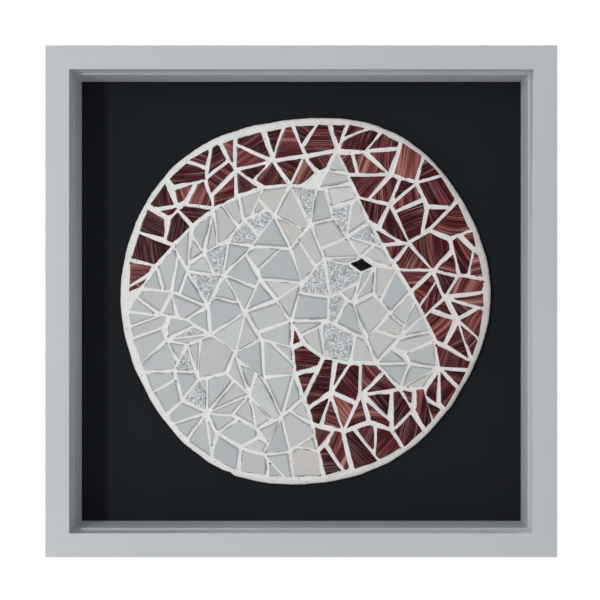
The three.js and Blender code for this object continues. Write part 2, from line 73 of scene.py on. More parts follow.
def in_place(points):
    """Panel points as points of the row frame."""
    points = np.asarray(points, float)
    return np.column_stack([points[:, 0], BOARD_Y - points[:, 2], points[:, 1]])


def new_piece(name, points, faces, material, replaces):
    """A mesh that rides on the root body, has one material and stands for the given CAD nodes."""
    mesh = bpy.data.meshes.new(name)
    mesh.from_pydata(np.asarray(points, float).tolist(), [], faces)
    mesh.validate()
    mesh.update()
    mesh.polygons.foreach_set("use_smooth", np.full(len(mesh.polygons), True))
    piece = bpy.data.objects.new(name, mesh)
    bpy.context.scene.collection.objects.link(piece)
    mesh.materials.append(material)
    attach(piece, "root")
    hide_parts(*replaces)
    return piece


def add_attribute(piece, name, kind, values):
    key = {"FLOAT": "value", "FLOAT_VECTOR": "vector"}[kind]
    attribute = piece.data.attributes.new(name, kind, "POINT")
    attribute.data.foreach_set(key, np.asarray(values, np.float32).ravel())


def ring_faces(first, second, count):
    """Quads between two closed rings of as many points, the second one inside or above the first."""
    here = np.arange(count)
    after = (here + 1) % count
    return np.column_stack([first + here, first + after, second + after, second + here]).tolist()


def unit(v):
    return v / np.linalg.norm(v)


def linear(red, green, blue):
    """A colour given as 0 to 255 screen values, as the linear values that a shader takes."""
    def channel(value):
        value /= 255
        return value / 12.92 if value <= 0.04045 else ((value + 0.055) / 1.055) ** 2.4
    return (channel(red), channel(green), channel(blue), 1.0)


# Stretches of the panel, left to right from its middle, over which a colour comes in or fades.
GROUT_SHADE_ACROSS = (-0.02, 0.125)  # the grout's painted shade, darker and warmer, comes in
COOL_ACROSS = (-0.09, 0.02)  # the pale glass's cooler colour fades

# ---- Node materials ------------------------------------------------------------------------------


class Shader:
    """A material with a Principled shader, and short ways to add nodes to it."""

    def __init__(self, name, **plain):
        self.material = bpy.data.materials.new(name)
        self.material.use_nodes = True
        self.tree = self.material.node_tree
        self.principled = self.tree.nodes["Principled BSDF"]
        for socket, value in plain.items():
            self.principled.inputs[socket.replace("_", " ")].default_value = value

    def add(self, kind, inputs=None, **settings):
        made = self.tree.nodes.new("ShaderNode" + kind)
        for key, value in settings.items():
            setattr(made, key, value)
        for key, value in (inputs or {}).items():
            self.feed(made.inputs[key], value)
        return made

    def feed(self, socket, value):
        if isinstance(value, bpy.types.NodeSocket):
            self.tree.links.new(value, socket)
        else:
            socket.default_value = value

    def attribute(self, name):
        return self.add("Attribute", attribute_name=name).outputs

    def place(self):
        return self.add("TexCoord").outputs["Object"]

    def stretched(self, vector, scale):
        return self.add("Mapping", {"Vector": vector, "Scale": scale}).outputs["Vector"]

    def noise(self, vector, scale, detail=3.0, rough=0.5, distortion=0.0):
        inputs = {"Vector": vector, "Scale": scale, "Detail": detail}
        inputs.update({"Roughness": rough, "Distortion": distortion})
        return self.add("TexNoise", inputs).outputs["Fac"]

    def math(self, operation, first, second=0.0):
        return self.add("Math", {0: first, 1: second}, operation=operation).outputs[0]

    def span(self, value, low, high, to_low=0.0, to_high=1.0):
        inputs = {"Value": value, 1: low, 2: high, 3: to_low, 4: to_high}
        return self.add("MapRange", inputs).outputs["Result"]

    def ramp(self, value, stops, stepped=False):
        made = self.add("ValToRGB", {"Fac": value})
        ramp = made.color_ramp
        ramp.interpolation = "CONSTANT" if stepped else "LINEAR"
        while len(ramp.elements) < len(stops):
            ramp.elements.new(0.5)
        for element, (position, colour) in zip(ramp.elements, stops):
            element.position = position
            element.color = colour
        return made.outputs["Color"]

    def mix(self, factor, first, second, blend="MIX"):
        made = self.add("Mix", data_type="RGBA", blend_type=blend)
        self.feed(made.inputs[0], factor)
        self.feed(made.inputs[6], first)
        self.feed(made.inputs[7], second)
        return made.outputs[2]

    def colour(self, value):
        self.feed(self.principled.inputs["Base Color"], value)

    def roughness(self, value):
        self.feed(self.principled.inputs["Roughness"], value)

    def bump(self, height, distance, strength=1.0):
        inputs = {"Height": height, "Distance": distance, "Strength": strength}
        made = self.add("Bump", inputs)
        self.feed(self.principled.inputs["Normal"], made.outputs["Normal"])


def grey_paint():
    """Satin grey paint on MDF: a faint orange peel, a little cloudiness and a few specks."""
    s = Shader("grey_paint", Specular_IOR_Level=0.45)
    place = s.place()
    cloud = s.noise(place, 9.0, 3.0)
    peel = s.noise(place, 700.0, 2.0)
    speck = s.span(s.noise(place, 380.0, 1.0), 0.74, 0.78)
    base = s.ramp(cloud, [(0.35, (0.53, 0.546, 0.571, 1)), (0.65, (0.555, 0.57, 0.591, 1))])
    s.colour(s.mix(s.math("MULTIPLY", speck, 0.35), base, (0.40, 0.41, 0.43, 1)))
    s.roughness(s.span(s.noise(place, 60.0, 2.0), 0.3, 0.7, 0.40, 0.52))
    s.bump(peel, 0.00004, 0.5)
    return s.material


def black_card():
    """Matt black mount board with a very fine fibre."""
    s = Shader("black_card", Specular_IOR_Level=0.12)
    place = s.place()
    fibre = s.noise(s.stretched(place, (1.0, 1.0, 2.6)), 1500.0, 4.0, 0.65)
    cloud = s.noise(place, 14.0, 2.0)
    base = s.ramp(fibre, [(0.3, linear(26, 29, 33)), (0.7, linear(33, 36, 40))])
    s.colour(s.mix(s.span(cloud, 0.4, 0.75, 0.0, 0.25), base, linear(36, 39, 44)))
    s.roughness(s.span(fibre, 0.3, 0.7, 0.82, 0.95))
    s.bump(fibre, 0.00005, 0.5)
    return s.material


def hardboard():
    """Brown hardboard with the canvas-like mesh print of its rough side."""
    s = Shader("hardboard", Specular_IOR_Level=0.3)
    place = s.place()
    fibre = s.noise(place, 420.0, 6.0, 0.7)
    cloud = s.noise(place, 11.0, 3.0)
    weave_x = s.add("TexWave", {"Vector": place, "Scale": 260.0}, bands_direction="X").outputs["Fac"]
    weave_z = s.add("TexWave", {"Vector": place, "Scale": 260.0}, bands_direction="Z").outputs["Fac"]
    weave = s.math("MAXIMUM", weave_x, weave_z)
    base = s.ramp(fibre, [
        (0.25, linear(96, 66, 42)),
        (0.50, linear(128, 91, 60)),
        (0.80, linear(156, 118, 82)),
    ])
    base = s.mix(s.span(cloud, 0.35, 0.7, 0.0, 0.35), base, linear(112, 76, 48))
    s.colour(s.mix(s.span(weave, 0.0, 1.0, 0.22, 0.0), base, linear(70, 47, 30)))
    s.roughness(s.span(fibre, 0.2, 0.8, 0.7, 0.92))
    s.bump(s.math("ADD", s.math("MULTIPLY", weave, 0.6), fibre), 0.0002, 0.7)
    return s.material


def zinc_steel():
    """Zinc-plated sheet steel: fine rolling lines and dull blooms."""
    s = Shader("zinc_steel", Metallic=1.0)
    place = s.place()
    lines = s.noise(s.stretched(place, (60.0, 900.0, 2200.0)), 1.0, 3.0)
    bloom = s.noise(place, 240.0, 4.0, 0.6)
    base = s.ramp(bloom, [(0.3, linear(150, 153, 156)), (0.7, linear(196, 199, 203))])
    s.colour(s.mix(s.span(lines, 0.35, 0.7, 0.0, 0.3), base, linear(128, 130, 134)))
    s.roughness(s.span(bloom, 0.3, 0.7, 0.28, 0.46))
    s.bump(lines, 0.00003, 0.6)
    return s.material


def pale_grout():
    """Off-white sandy grout with grey smears, pits and grains, painted shade that turns it darker and warmer
    towards the right, most of all near the rim, and painted shade in the crevices round the tiles.
    """
    s = Shader("pale_grout", Specular_IOR_Level=0.3)
    place = s.place()
    sand = s.noise(place, 1500.0, 4.0, 0.75)
    smear = s.noise(place, 75.0, 4.0, 0.6)
    across = s.add("SeparateXYZ", {"Vector": place}).outputs["X"]
    # Painted shade: the grout turns darker and warmer towards the right, most of all near the rim.
    painted_shade = s.span(across, *(FRAME_CENTRE.x + x for x in GROUT_SHADE_ACROSS))
    base = s.ramp(sand, [
        (0.30, linear(216, 213, 209)),
        (0.50, linear(241, 239, 236)),
        (0.72, linear(252, 251, 249)),
    ])
    painted_shade = s.math("MULTIPLY", painted_shade, s.span(s.attribute("edge")["Fac"], 0.0, 1.0, 0.42, 0.9))
    base = s.mix(painted_shade, base, linear(214, 205, 199))
    base = s.mix(s.span(smear, 0.55, 0.8, 0.0, 0.5), base, linear(206, 204, 201))
    pit = s.span(s.noise(place, 620.0, 1.0), 0.24, 0.29, 1.0, 0.0)
    base = s.mix(s.math("MULTIPLY", pit, 0.65), base, linear(120, 117, 113))
    # Painted shade in the crevices where the grout has shrunk away from a tile.
    s.colour(s.mix(s.math("MULTIPLY", s.attribute("crevice_shade")["Fac"], 0.9), base, linear(62, 58, 55)))
    s.roughness(s.span(sand, 0.2, 0.8, 0.75, 0.95))
    s.bump(s.math("SUBTRACT", sand, s.math("MULTIPLY", pit, 1.5)), 0.00012, 0.8)
    return s.material


def red_glass():
    """Dark red opaque glass with straight streaks drawn along each shard's own direction."""
    s = Shader("red_glass", Specular_IOR_Level=0.3)
    streak = s.attribute("streak")["Vector"]
    tone = s.attribute("tone")["Fac"]
    broad = s.noise(s.stretched(streak, (0.26, 0.011, 1.0)), 1.0, 2.0, 0.5)
    fine = s.noise(s.stretched(streak, (1.5, 0.015, 1.7)), 1.0, 3.0, 0.6)
    hair = s.noise(s.stretched(streak, (3.4, 0.028, 2.9)), 1.0, 2.0, 0.5)
    shade = s.math("ADD", s.math("MULTIPLY", broad, 0.62), s.math("MULTIPLY", fine, 0.38))
    shade = s.math("ADD", shade, s.span(tone, 0.0, 1.0, -0.07, 0.07))
    base = s.ramp(shade, [
        (0.36, linear(40, 8, 11)),
        (0.45, linear(66, 18, 21)),
        (0.52, linear(88, 34, 35)),
        (0.58, linear(114, 56, 54)),
        (0.64, linear(156, 95, 86)),
        (0.73, linear(192, 140, 127)),
    ])
    pale = s.math("MULTIPLY", s.span(hair, 0.62, 0.67), s.span(broad, 0.4, 0.6, 0.45, 1.0))
    s.colour(s.mix(s.math("MULTIPLY", pale, 0.78), base, linear(204, 176, 170)))
    s.roughness(s.span(fine, 0.3, 0.7, 0.22, 0.36))
    ripple = s.noise(s.stretched(streak, (0.6, 0.2, 1.0)), 1.0, 2.0)
    s.bump(s.math("ADD", ripple, s.math("MULTIPLY", fine, 0.35)), 0.00012, 0.5)
    return s.material


def pale_glass():
    """Satin glass in greys, lilac, cream and greenish white, one tint for each shard.

    It is cooler towards the left, on the neck, and has painted shade down each shard's slopes.
    """
    s = Shader("pale_glass", Specular_IOR_Level=0.4)
    streak = s.attribute("streak")["Vector"]
    tone = s.attribute("tone")["Fac"]
    slope = s.attribute("slope")["Fac"]
    base = s.ramp(tone, [
        (0.0, linear(207, 207, 207)),
        (0.16, linear(193, 197, 199)),
        (0.30, linear(211, 210, 209)),
        (0.44, linear(214, 209, 212)),
        (0.55, linear(213, 208, 203)),
        (0.66, linear(219, 210, 204)),
        (0.76, linear(196, 199, 197)),
        (0.90, linear(224, 223, 223)),
    ], stepped=True)
    across = s.add("SeparateXYZ", {"Vector": s.place()}).outputs["X"]
    cool = s.span(across, *(FRAME_CENTRE.x + x for x in COOL_ACROSS), 0.55, 0.0)
    base = s.mix(cool, base, linear(190, 196, 196))
    cloud = s.noise(s.stretched(streak, (0.11, 0.09, 1.0)), 1.0, 2.0)
    grain = s.noise(streak, 3.2, 3.0, 0.7)
    base = s.mix(s.span(cloud, 0.3, 0.7, 0.0, 0.3), base, linear(190, 193, 195))
    base = s.mix(s.span(grain, 0.35, 0.7, 0.0, 0.22), base, linear(166, 169, 173))
    # Painted shade down each shard's sloped edges.
    s.colour(s.mix(s.math("MULTIPLY", slope, 0.6), base, linear(144, 148, 152)))
    s.roughness(s.span(grain, 0.3, 0.7, 0.25, 0.4))
    s.bump(s.math("ADD", cloud, s.math("MULTIPLY", grain, 0.08)), 0.00025, 0.5)
    return s.material


def glitter_glass():
    """Clear-faced glass over crushed silver foil: hard bright and dark flakes."""
    s = Shader("glitter_glass", Specular_IOR_Level=0.6)
    streak = s.attribute("streak")["Vector"]
    flakes = s.add("TexVoronoi", {"Vector": streak, "Scale": 1.0, "Randomness": 1.0})
    small = s.add("TexVoronoi", {"Vector": streak, "Scale": 2.0, "Randomness": 1.0})
    cell = s.add("SeparateColor", {"Color": flakes.outputs["Color"]}).outputs["Red"]
    grain = s.add("SeparateColor", {"Color": small.outputs["Color"]}).outputs["Green"]
    shine = s.math("ADD", s.math("MULTIPLY", cell, 0.55), s.math("MULTIPLY", grain, 0.45))
    s.colour(s.ramp(shine, [
        (0.12, linear(134, 137, 140)),
        (0.35, linear(176, 179, 182)),
        (0.60, linear(206, 208, 211)),
        (0.88, linear(250, 250, 250)),
    ]))
    s.roughness(s.span(grain, 0.0, 1.0, 0.16, 0.5))
    s.bump(shine, 0.0004, 0.6)
    return s.material


def black_glass():
    """Polished black glass with a faint inner swirl."""
    s = Shader("black_glass", Specular_IOR_Level=0.35)
    swirl = s.noise(s.attribute("streak")["Vector"], 0.6, 3.0, 0.5, 1.0)
    s.colour(s.ramp(swirl, [(0.35, linear(8, 8, 10)), (0.7, linear(24, 24, 28))]))
    s.roughness(s.span(swirl, 0.3, 0.7, 0.10, 0.2))
    s.bump(swirl, 0.00005, 0.3)
    return s.material


# ---- Tiles ---------------------------------------------------------------------------------------

TILE_LEVEL = 4.0 * MM  # flat faces higher than this above the board are tile tops
TILE_DEPTH = 2.4 * MM  # how much of a tile's side is modelled below its top
SIDE_STEP = 1.35 * MM
# From the side up over the edge: share of the edge's width, share of its drop.
EDGE_PROFILE = ((0.0, 1.0), (0.10, 0.55), (0.32, 0.22), (0.65, 0.05), (1.0, 0.0))
TOP_RINGS = (0.66, 0.3)
SHORT_SIDE = 2.2 * MM  # a nipped corner's own side is shorter than this
LONGEST_NIP = 4.5 * MM  # from the lost tip to the nipped side
LEAST_TOP_SIDE = 0.6 * MM
EDGE_WIDTH = (0.22 * MM, 0.45 * MM)
MOULDED_WIDTH = (1.0 * MM, 1.9 * MM)
EDGE_DROP = 0.16 * MM
MOULDED_DROP = 0.42 * MM
CHIP = 0.4 * MM  # how rough the nippers leave a side
STREAK_BEND = 0.005  # how far a streak strays from straight, in mm at 1 mm from the tile's middle
EYE_DOME = 0.5 * MM
CORNER_CUT = (0.35, 0.9)  # how far back a whole corner is worn, in mm
LEAST_CUT = 0.22 * MM
LARGEST_CUT = 0.4  # as a share of the shorter side beside it
NIPPED_BULGE = 0.3  # how far a nipped corner curves out towards its tip, from 0 to 1
CORNER_BULGE = 0.75
CORNER_STEPS = (0.0, 0.3, 0.7, 1.0)
WIDEST_EDGE = 0.36  # as a share of the tile's inner radius
BOW = (-0.14, 0.24)  # how far a side bends in, in mm, on a side as long as the next value or longer
BOW_SIDE = 14 * MM
NIPPED_SLOPE_SHADE = 0.25  # how much painted shade a nipped edge's slope gets, where a moulded one gets 1
NARROWINGS = 12
NARROWING = 0.8
STREAK_FIELD = 400  # streaks are drawn from anywhere in a field this far each way, in mm
TILE_NUMBERS_APART = 7.0
TILE_SEED = 11


def tile_tops(name):
    """The corners of each tile's flat top in a CAD node, in order, counterclockwise from the front."""
    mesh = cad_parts[name].data
    mesh.calc_loop_triangles()
    places = np.array([v.co for v in mesh.vertices])
    keys = [tuple(np.round(p, 6)) for p in places]
    following = {}
    for triangle in mesh.loop_triangles:
        corners = [keys[i] for i in triangle.vertices]
        high = all(BOARD_Y - corner[1] > TILE_LEVEL for corner in corners)
        if not high or triangle.normal.y > -0.9:
            continue
        for here, after in zip(corners, corners[1:] + corners[:1]):
            if following.get(after) and here in following[after]:
                following[after].remove(here)
            else:
                following.setdefault(here, []).append(after)
    tops = []
    while any(following.values()):
        start = next(key for key, ends in following.items() if ends)
        loop = [start]
        while following[loop[-1]]:
            loop.append(following[loop[-1]].pop())
        tops.append(without_straight_corners(np.array(loop[:-1])))
    tops.sort(key=lambda top: (round(top[:, 2].mean(), 4), round(top[:, 0].mean(), 4)))
    return [np.column_stack([top[:, 0], top[:, 2], BOARD_Y - top[:, 1]]) for top in tops]


def without_straight_corners(loop):
    before = loop - np.roll(loop, 1, 0)
    after = np.roll(loop, -1, 0) - loop
    turn = np.linalg.norm(np.cross(before, after), axis=1)
    return loop[turn > 1e-9]


def moved_in(corners, distances):
    """A convex outline's corners after each side has moved inwards by its own distance."""
    along = np.roll(corners, -1, 0) - corners
    along /= np.linalg.norm(along, axis=1)[:, None]
    inward = np.column_stack([-along[:, 1], along[:, 0]])
    start = corners + inward * np.asarray(distances)[:, None]
    result = []
    for i in range(len(corners)):
        gap = start[i] - start[i - 1]
        turn = along[i - 1][0] * along[i][1] - along[i - 1][1] * along[i][0]
        travel = (gap[0] * along[i][1] - gap[1] * along[i][0]) / turn
        result.append(start[i - 1] + along[i - 1] * travel)
    return np.array(result)


def rough_line(rng, count):
    """Small random steps along a side, the next one like the last."""
    steps = rng.uniform(0, 1, count + 2)
    return (steps[:-2] + steps[1:-1] * 1.5 + steps[2:]) / 3.5 - 0.5


class Shard:
    """One tile: its corners drawn out to tips, how much each tip is nipped, and how each side is finished."""

    def __init__(self, top, rng):
        self.rng = rng
        flat = top[:, :2]
        fit = np.linalg.lstsq(np.column_stack([flat, np.ones(len(flat))]), top[:, 2], rcond=None)
        self.plane = fit[0]
        lengths = np.linalg.norm(np.roll(flat, -1, 0) - flat, axis=1)
        nips = self.nipped_tips(flat, lengths)
        self.tips, self.cuts, self.bulges = [], [], []
        for i, corner in enumerate(flat):
            if i in nips:
                tip, loss = nips[i]
                self.tips.append(tip)
                self.cuts.append(loss)
                self.bulges.append(NIPPED_BULGE)
            elif (i - 1) % len(flat) not in nips:
                self.tips.append(corner)
                self.cuts.append(rng.uniform(*CORNER_CUT) * MM)
                self.bulges.append(CORNER_BULGE)
        self.tips = np.array(self.tips)
        sides = np.linalg.norm(np.roll(self.tips, -1, 0) - self.tips, axis=1)
        shortest = np.minimum(sides, np.roll(sides, 1))
        self.cuts = np.minimum(self.cuts, LARGEST_CUT * shortest)
        self.counts = np.maximum(3, np.round(sides / SIDE_STEP)).astype(int)
        self.finish_sides(sides)

    def nipped_tips(self, flat, lengths):
        """For each short side that nippers left: the tip that it cut off, and how much of the tip is gone."""
        found = {}
        count = len(flat)
        for i, corner in enumerate(flat):
            after = (i + 1) % count
            if count == 3 or lengths[i] > SHORT_SIDE or i - 1 in found:
                continue
            tip = self.meeting(flat[i - 1], corner, flat[(after + 1) % count], flat[after])
            losses = np.linalg.norm([tip - corner, tip - flat[after]], axis=1)
            if losses.max() < LONGEST_NIP:
                found[i] = (tip, losses.mean())
        return found

    @staticmethod
    def meeting(a, b, c, d):
        """Where the line through a and b meets the line through c and d."""
        first, second, gap = b - a, d - c, c - a
        turn = first[0] * second[1] - first[1] * second[0]
        return a + first * (gap[0] * second[1] - gap[1] * second[0]) / turn

    def finish_sides(self, sides):
        """One or two sides keep the moulded slope of the whole tile, and the others are nipped edges."""
        rng = self.rng
        count = len(self.tips)
        after = np.roll(self.tips, -1, 0)
        area = 0.5 * abs(np.sum(self.tips[:, 0] * after[:, 1] - after[:, 0] * self.tips[:, 1]))
        inner = 2 * area / sides.sum()
        moulded = rng.permutation(count) < rng.integers(1, 3)
        widths = np.where(moulded, rng.uniform(*MOULDED_WIDTH, count), rng.uniform(*EDGE_WIDTH, count))
        self.widths = self.narrowed(np.minimum(widths, WIDEST_EDGE * inner))
        self.drops = np.where(moulded, MOULDED_DROP, EDGE_DROP)
        self.bows = rng.uniform(*BOW, count) * MM * np.minimum(1, sides / BOW_SIDE)
        # How much painted shade each side's slope gets.
        self.slopes = np.where(moulded, 1.0, NIPPED_SLOPE_SHADE)
        self.chips = [rough_line(rng, n) * CHIP for n in self.counts]

    def narrowed(self, widths):
        """The edge widths, narrowed until no side of the flat top is lost."""
        along = np.roll(self.tips, -1, 0) - self.tips
        along /= np.linalg.norm(along, axis=1)[:, None]
        for _ in range(NARROWINGS):
            top = moved_in(self.tips, widths)
            left = ((np.roll(top, -1, 0) - top) * along).sum(1)
            if left.min() > LEAST_TOP_SIDE:
                break
            widths = NARROWING * widths
        return widths

    def outline(self, share):
        """The tile's outline as a closed ring, moved in by a share of each side's edge width.

        With it comes, for each point, the two sides that it lies between and how far on it is.
        """
        tips = moved_in(self.tips, self.widths * share)
        points, sides = [], []
        count = len(tips)
        corners = []
        for i, tip in enumerate(tips):
            back, ahead = unit(tips[i - 1] - tip), unit(tips[(i + 1) % count] - tip)
            half = 0.5 * math.acos(np.clip(back @ ahead, -1, 1))
            cut = max(LEAST_CUT, self.cuts[i] - share * self.widths[i] / math.tan(half))
            corners.append((tip + back * cut, tip, tip + ahead * cut))
        for i, (enter, tip, leave) in enumerate(corners):
            middle = (enter + leave) / 2
            control = middle + self.bulges[i] * (tip - middle)
            for t in CORNER_STEPS:
                points.append((1 - t) ** 2 * enter + 2 * t * (1 - t) * control + t * t * leave)
                sides.append(((i - 1) % count, i, t))
            end = corners[(i + 1) % count][0]
            along = unit(end - leave)
            inward = np.array([-along[1], along[0]])
            for k in range(1, self.counts[i]):
                t = k / self.counts[i]
                offset = self.bows[i] * 4 * t * (1 - t) + self.chips[i][k]
                points.append(leave + (end - leave) * t + inward * offset)
                sides.append((i, i, 0.0))
        return np.array(points), sides

    @staticmethod
    def along_ring(values, sides):
        """A value of each side spread along the ring, blended round the corners."""
        return np.array([(1 - t) * values[i] + t * values[k] for i, k, t in sides])

    def height(self, points):
        return points @ self.plane[:2] + self.plane[2]

    def mesh(self, dome=0.0):
        """Points and faces of the tile in panel coordinates, and how much painted shade each point gets for
        lying on a slope.
        """
        rings, slopes = [], []
        for share, drop in EDGE_PROFILE:
            ring, sides = self.outline(share)
            rings.append((ring, self.height(ring) - self.along_ring(self.drops, sides) * drop))
            slopes.append(self.along_ring(self.slopes, sides) * (share < 1))
        outer, inner = rings[0][0], rings[-1][0]
        middle = inner.mean(0)
        rings.insert(0, (outer, self.height(outer) - TILE_DEPTH))
        slopes.insert(0, slopes[0])
        for scale in TOP_RINGS:
            ring = middle + (inner - middle) * scale
            rings.append((ring, self.height(ring) + dome * (1 - scale**2)))
            slopes.append(np.zeros(len(ring)))
        count = len(outer)
        points = np.vstack([np.column_stack([ring, level]) for ring, level in rings])
        faces = []
        for k in range(len(rings) - 1):
            faces += ring_faces(k * count, (k + 1) * count, count)
        last = (len(rings) - 1) * count
        top, bottom = len(points), len(points) + 1
        level = self.height(middle[None, :])[0]
        points = np.vstack([points, [[*middle, level + dome], [*middle, level - TILE_DEPTH]]])
        here = np.arange(count)
        after = (here + 1) % count
        faces += np.column_stack([last + here, last + after, np.full(count, top)]).tolist()
        faces += np.column_stack([after, here, np.full(count, bottom)]).tolist()
        return points, faces, np.concatenate([*slopes, [0, 0]])

    def streaks(self, points, number):
        """Each point's place across and along the tile's own streaks in mm, and a number for the tile."""
        turn = self.rng.uniform(0, math.pi)
        bend = self.rng.normal(0, STREAK_BEND)
        across = np.array([math.cos(turn), math.sin(turn)])
        along = np.array([-across[1], across[0]])
        offset = self.rng.uniform(-STREAK_FIELD, STREAK_FIELD, 2)
        local = points[:, :2] - self.tips.mean(0)
        far = local @ along / MM
        return np.column_stack([
            local @ across / MM + bend * far**2 + offset[0],
            far + offset[1],
            np.full(len(points), TILE_NUMBERS_APART * number),
        ])


def tile_piece(name, shards, material, replaces, dome=0.0):
    """One piece made of all the given shards, with the attributes that their glass needs."""
    points, faces, streaks, tones, slopes = [], [], [], [], []
    start = 0
    for number, shard in enumerate(shards):
        shard_points, shard_faces, shard_slopes = shard.mesh(dome)
        points.append(shard_points)
        faces += [[start + i for i in face] for face in shard_faces]
        streaks.append(shard.streaks(shard_points, number))
        tones.append(np.full(len(shard_points), shard.rng.uniform()))
        slopes.append(shard_slopes)
        start += len(shard_points)
    piece = new_piece(name, in_place(np.vstack(points)), faces, material, replaces)
    add_attribute(piece, "streak", "FLOAT_VECTOR", np.vstack(streaks))
    add_attribute(piece, "tone", "FLOAT", np.concatenate(tones))
    add_attribute(piece, "slope", "FLOAT", np.concatenate(slopes))
    return piece


def lay_tiles():
    rng = np.random.default_rng(TILE_SEED)
    laid = []

    def shards_of(node):
        found = [Shard(top, rng) for top in tile_tops(node)]
        laid.extend(found)
        return found

    tile_piece("red_tiles", shards_of("ground_tiles"), red_glass(), ["ground_tiles"])
    tile_piece("pale_tiles", shards_of("figure_tiles"), pale_glass(), ["figure_tiles"])
    silver = glitter_glass()
    for node in sorted(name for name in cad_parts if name.startswith("glitter_tile")):
        name = node.replace("glitter_tile", "silver_shard")
        tile_piece(name, shards_of(node), silver, [node])
    tile_piece("eye_shard", shards_of("eye_tile"), black_glass(), ["eye_tile"], EYE_DOME)
    return laid


# ---- Grout ---------------------------------------------------------------------------------------

GROUT_STEP = 0.56 * MM  # distance between the points of the grout's surface
RIM_POINTS = 720
LIP_BELOW = 0.04 * MM  # grout against a tile, below the tile's top
POOL_BELOW = 0.75 * MM  # grout in the open, below the tiles' tops
POCKET_BELOW = 1.5 * MM
EDGE_GAP = 0.05 * MM
CREVICE_DEPTH = 1.2 * MM  # where the grout has shrunk away from a tile
CREVICE_WIDTH = 0.30 * MM
CREVICE_SIDES = 0.30  # share of the sides that have one
CREVICE_TIPS = 0.16  # and of the tips
RIM_SHADE_REACH = 5.0 * MM  # how far in from the outer line the painted shade on the right stays at its strongest
POCKET_RING = 0.22 * MM  # how far inside a tile's side its pocket starts
LATTICE_CLEAR = 0.34 * MM  # the surface's own points keep this far from a tile's edge ring
RIM_CLEAR = 0.4  # and this far from the rim's top line, in mm
LATTICE_JITTER = 0.14  # as a share of their distance
POOL_WIDTH = 1.15 * MM  # how fast the grout falls away from a tile
SWELL = 0.16 * MM
SAND = 0.035 * MM
EDGE_FALL = (0.25 * MM, 2.2 * MM)  # how much the grout drops at its edge, and how far in
GROUT_SEED = 5
# The uneven outer line, in mm: how far it strays in slow and in quick waves, and lies inside the CAD line.
SLOW_STRAY = 0.28
QUICK_STRAY = 0.12
LINE_INSIDE = 0.1
SMOOTHING_POINTS = 17
RING_FROM = 0.1  # CAD points farther than this from the middle, in metres, are on the disc's edge
WIDEST_LEVELS = (1.9 * MM, 2.4 * MM)  # the disc is widest between these heights
# A chip in the outer line at the lower left, and the bulge that starts beside it and dies away.
CHIP_ANGLE = math.radians(246.6)
CHIP_SPAN = math.radians(0.9)
CHIP_DEPTH = 1.0
BULGE_ANGLE = math.radians(246)
BULGE_START = math.radians(0.5)
BULGE_SPAN = math.radians(9)
BULGE_HEIGHT = 0.9
# Along the bottom the rim has a ridge with a groove outside it: height, distance from the edge, width.
RIDGE_ANGLE = math.radians(262)
RIDGE = (0.3 * MM, 3.1 * MM, 0.55 * MM)
GROOVE = (0.25 * MM, 2.1 * MM, 0.45 * MM)
# From the rim's top outwards and down: distance from the outermost line, height above the board.
RIM_PROFILE = ((1.9, None), (1.2, 4.75), (0.55, 4.2), (0.15, 3.3), (0.0, 2.2), (0.25, 1.0), (0.8, 0.25))


class Waves:
    """Smooth seeded noise in one or two directions: a sum of sines."""

    def __init__(self, rng, longest, shortest, count, whole_turns=False):
        pace = 1 / np.exp(rng.uniform(math.log(shortest), math.log(longest), count))
        self.turns = np.round(pace) if whole_turns else pace
        self.heading = rng.uniform(0, 2 * math.pi, count)
        self.phase = rng.uniform(0, 2 * math.pi, count)

    def on_line(self, t):
        return np.sin(2 * math.pi * np.outer(t, self.turns) + self.phase).mean(1) * 2

    def on_plane(self, points):
        way = np.column_stack([np.cos(self.heading), np.sin(self.heading)]) * self.turns[:, None]
        return np.sin(2 * math.pi * points @ way.T + self.phase).mean(1) * 2


class Rim:
    """The outermost line of the grout, read from the CAD disc and roughened a little."""

    def __init__(self, rng):
        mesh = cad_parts["grout"].data
        places = np.array([v.co for v in mesh.vertices])
        flat = places[:, [0, 2]]
        middle = (flat.min(0) + flat.max(0)) / 2
        on_edge = np.linalg.norm(flat - middle, axis=1) > RING_FROM
        heights = BOARD_Y - places[on_edge, 1]
        widest = flat[on_edge][(heights > WIDEST_LEVELS[0]) & (heights < WIDEST_LEVELS[1])]
        self.centre = widest.mean(0)
        away = widest - self.centre
        angle = np.arctan2(away[:, 1], away[:, 0]) % (2 * math.pi)
        order = np.argsort(angle)
        radius = np.linalg.norm(away, axis=1)[order]
        angle = angle[order]
        self.angles = np.arange(RIM_POINTS) / RIM_POINTS * 2 * math.pi
        smooth = np.interp(self.angles, angle, radius, period=2 * math.pi)
        window = np.hanning(SMOOTHING_POINTS)
        smooth = np.convolve(np.tile(smooth, 3), window / window.sum(), "same")[RIM_POINTS:-RIM_POINTS]
        turn = self.angles / (2 * math.pi)
        slow = Waves(rng, 1 / 14, 1 / 40, 9, whole_turns=True).on_line(turn)
        quick = Waves(rng, 1 / 60, 1 / 170, 12, whole_turns=True).on_line(turn)
        chip = np.exp(-(((self.angles - CHIP_ANGLE) / CHIP_SPAN) ** 2))
        step = 1 / (1 + np.exp(-(self.angles - BULGE_ANGLE) / BULGE_START))
        fall = np.exp(-np.clip(self.angles - BULGE_ANGLE, 0, None) / BULGE_SPAN)
        stray = SLOW_STRAY * slow + QUICK_STRAY * quick
        self.radii = smooth + (stray - CHIP_DEPTH * chip + BULGE_HEIGHT * step * fall - LINE_INSIDE) * MM

    def radius(self, angle):
        return np.interp(angle % (2 * math.pi), self.angles, self.radii, period=2 * math.pi)

    def ring(self, inwards):
        radii = self.radii - inwards
        turned = np.column_stack([np.cos(self.angles), np.sin(self.angles)])
        return self.centre + turned * radii[:, None]

    def depth(self, points):
        """How far inside the outermost line the points are."""
        away = points - self.centre
        return self.radius(np.arctan2(away[:, 1], away[:, 0])) - np.linalg.norm(away, axis=1)


